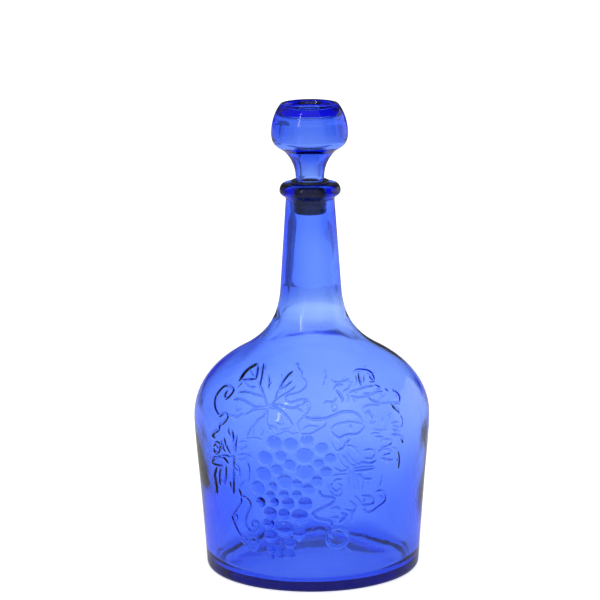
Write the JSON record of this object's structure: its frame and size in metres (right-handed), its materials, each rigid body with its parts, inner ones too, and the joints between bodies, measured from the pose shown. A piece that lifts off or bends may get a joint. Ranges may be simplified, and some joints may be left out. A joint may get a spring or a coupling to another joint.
{
  "type": "glass bottle with stopper",
  "caption": "Round blue pressed-glass bottle with a long neck, a grape and vine-leaf relief on its front, and a mushroom glass stopper in a ribbed plastic sleeve.",
  "frame": {"origin": "centre of the ring that the bottle stands on, on the table's surface", "axes": "+Z is the bottle's axis, up through the neck; the relief is on the -Y side; +X is to the right when the relief is looked at"},
  "size_m": [0.1474, 0.1489, 0.2934],
  "materials": {
    "cobalt_glass": "clear pressed glass, cobalt blue, fire-polished",
    "sleeve_plastic": "soft black plastic, satin"
  },
  "bodies": {
    "bottle_body": {"bottle": "cobalt_glass"},
    "stopper": {"stopper_knob": "cobalt_glass", "stopper_sleeve": "sleeve_plastic"}
  },
  "joints": [
    {"name": "stopper_lift", "type": "slide", "parent": "bottle_body", "child": "stopper", "axis": [0, 0, 1], "range_m": [0, 0.06]}
  ]
}
